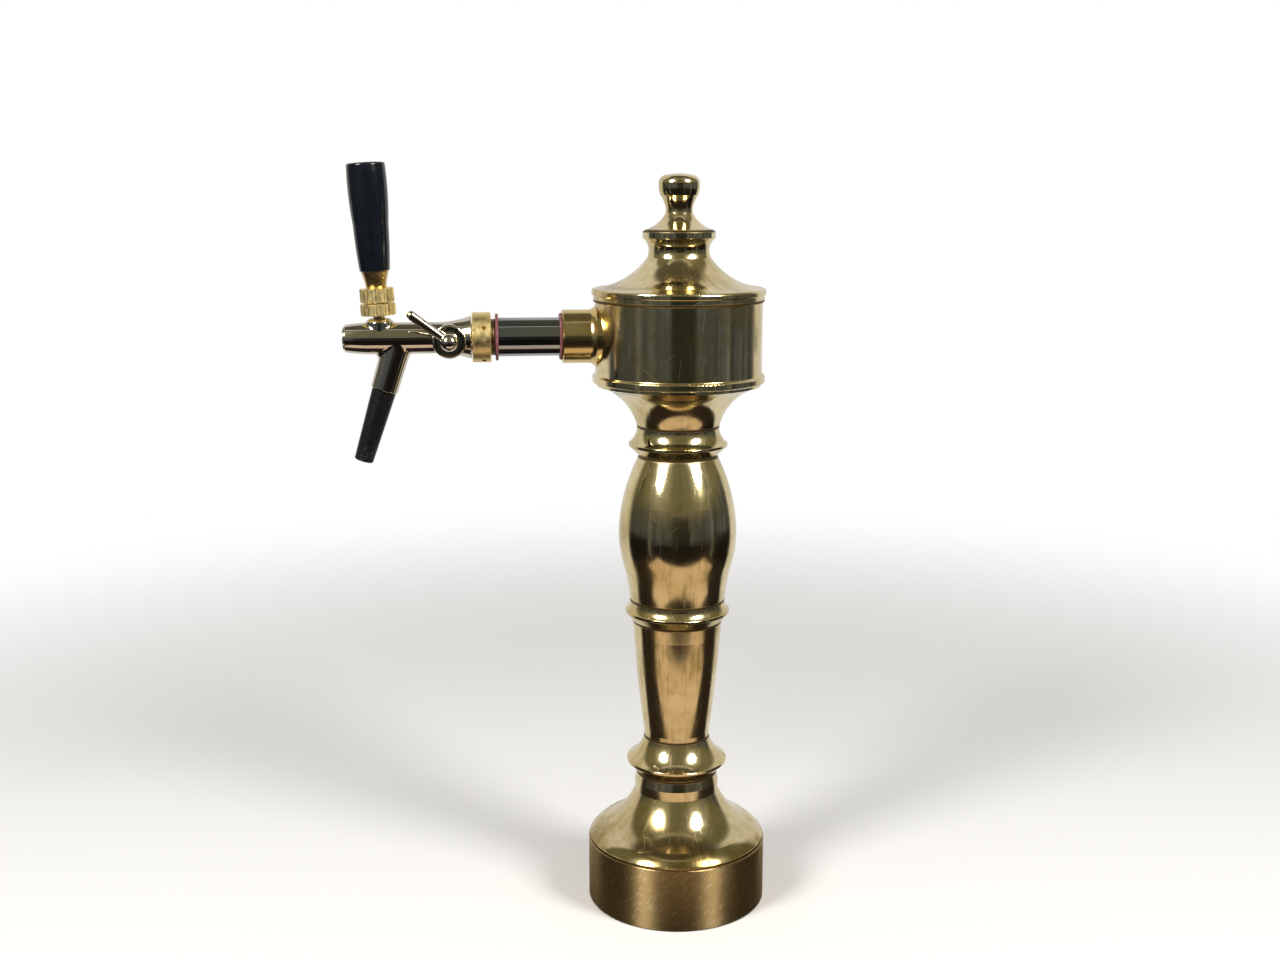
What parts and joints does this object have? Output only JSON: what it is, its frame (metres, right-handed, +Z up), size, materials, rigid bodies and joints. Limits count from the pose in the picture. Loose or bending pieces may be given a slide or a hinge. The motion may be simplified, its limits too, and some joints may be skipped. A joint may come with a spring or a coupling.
{
  "type": "draught beer column",
  "caption": "Turned brass draught beer column with a drum head, a finial, and a side arm that carries a chromed flow-control tap with a black handle and nozzle.",
  "frame": {"origin": "centre of the foot, on the bar top, which is also the centre of the bar bolts' circle", "axes": "+Z up along the column, -X along the arm towards the tap, -Y the side of the flow lever"},
  "size_m": [0.3024, 0.133, 0.5478],
  "materials": {
    "polished_brass": "mirror polished",
    "brushed_brass": "satin brushed",
    "gold_plate": "bright satin",
    "tap_chrome": "mirror polished",
    "tube_chrome": "mirror polished",
    "stainless_steel": "satin",
    "grip_plastic": "gloss",
    "nozzle_plastic": "satin",
    "fibre": "matt",
    "seal_rubber": "matt",
    "valve_plastic": "satin"
  },
  "bodies": {
    "column": {"base_ring": "brushed_brass", "foot_gasket": "seal_rubber", "base_plate": "stainless_steel", "pedestal_bell": "polished_brass", "lower_knop": "polished_brass", "lower_shaft": "polished_brass", "middle_ring": "polished_brass", "baluster_vase": "polished_brass", "upper_collar": "polished_brass", "neck_trumpet": "polished_brass", "drum_shell": "polished_brass", "clamp_plate": "stainless_steel", "tie_rod": "stainless_steel", "lower_tie_nut": "stainless_steel", "upper_tie_washer": "stainless_steel", "upper_tie_nut": "stainless_steel", "side_boss": "polished_brass", "shank": "stainless_steel", "shank_saddle": "stainless_steel", "shank_locknut": "stainless_steel", "tail_nut": "stainless_steel", "beer_line": "stainless_steel", "inner_fibre_washer": "fibre", "extension_tube": "tube_chrome", "outer_fibre_washer": "fibre", "coupling_ring": "gold_plate", "coupling_seal": "seal_rubber", "tap_body": "tap_chrome", "valve_seat": "stainless_steel", "front_plug": "tap_chrome", "plug_seal": "seal_rubber", "ball_seat": "valve_plastic", "ball_retainer": "tap_chrome", "compensator_gland": "tap_chrome"},
    "tap_handle": {"lever_ball": "tap_chrome", "lower_ring_nut": "gold_plate", "upper_ring_nut": "gold_plate", "grip_ferrule": "polished_brass", "lever_grip": "grip_plastic"},
    "valve_spindle": {"valve_stem": "stainless_steel", "stem_seal": "seal_rubber"},
    "flow_lever": {"compensator_lever": "tap_chrome"},
    "flow_cone": {"compensator_cone": "valve_plastic"},
    "nozzle": {"spout_nozzle": "nozzle_plastic"},
    "cap": {"lid": "polished_brass", "lid_seal": "seal_rubber", "finial": "polished_brass", "finial_stud": "stainless_steel", "finial_washer": "stainless_steel", "finial_nut": "stainless_steel"}
  },
  "joints": [
    {"name": "handle_pull", "type": "hinge", "parent": "column", "child": "tap_handle", "pos_m": [-0.2103, 0, 0.4352], "axis": [0, -1, 0], "range_deg": [0, 18]},
    {"name": "spindle_slide", "type": "slide", "parent": "column", "child": "valve_spindle", "axis": [1, 0, 0], "range_m": [0, 0.0026]},
    {"name": "flow_turn", "type": "hinge", "parent": "column", "child": "flow_lever", "pos_m": [-0.1621, -0.019, 0.4255], "axis": [0, -1, 0], "range_deg": [-50, 50]},
    {"name": "cone_slide", "type": "slide", "parent": "column", "child": "flow_cone", "axis": [1, 0, 0], "range_m": [-0.0015, 0.0015]},
    {"name": "nozzle_pull", "type": "slide", "parent": "column", "child": "nozzle", "axis": [-0.3057, 0, -0.9521], "range_m": [0, 0.02]},
    {"name": "cap_lift", "type": "slide", "parent": "column", "child": "cap", "axis": [0, 0, 1], "range_m": [0, 0.03]}
  ],
  "couplings": [
    {"joint": "spindle_slide", "follows": "handle_pull", "m_per_rad": 0.0082},
    {"joint": "cone_slide", "follows": "flow_turn", "m_per_rad": -0.0017}
  ]
}
